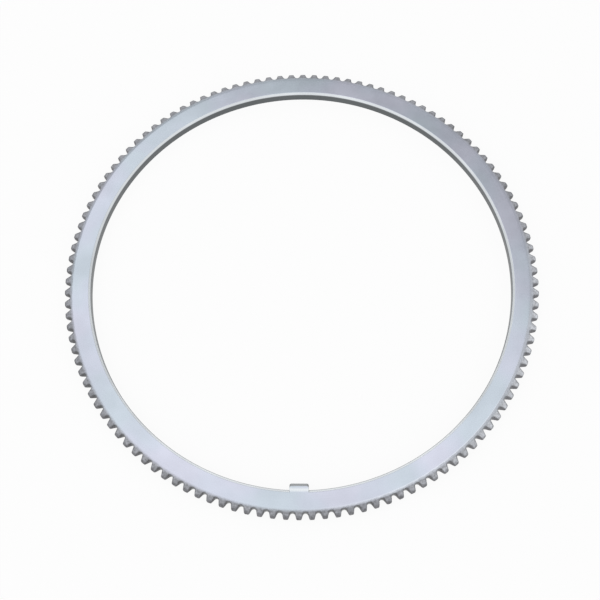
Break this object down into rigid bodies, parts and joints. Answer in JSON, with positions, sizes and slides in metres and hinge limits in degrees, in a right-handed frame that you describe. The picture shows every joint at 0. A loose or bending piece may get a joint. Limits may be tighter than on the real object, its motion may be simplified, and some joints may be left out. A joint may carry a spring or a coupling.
{
  "type": "toothed tone ring",
  "caption": "Flat zinc-plated steel ring with small bevelled teeth round its rim, a bevelled bore and a locating tab inside it.",
  "frame": {"origin": "centre of the bore, on the ring's back face", "axes": "+Z along the bore's axis out of the front face, -Y from the centre to the locating tab"},
  "size_m": [0.2014, 0.2014, 0.0058],
  "materials": {
    "zinc_plated_steel": "pale blue-grey zinc plate over machined steel, satin"
  },
  "bodies": {
    "root": {"tone_ring": "zinc_plated_steel"}
  },
  "joints": []
}
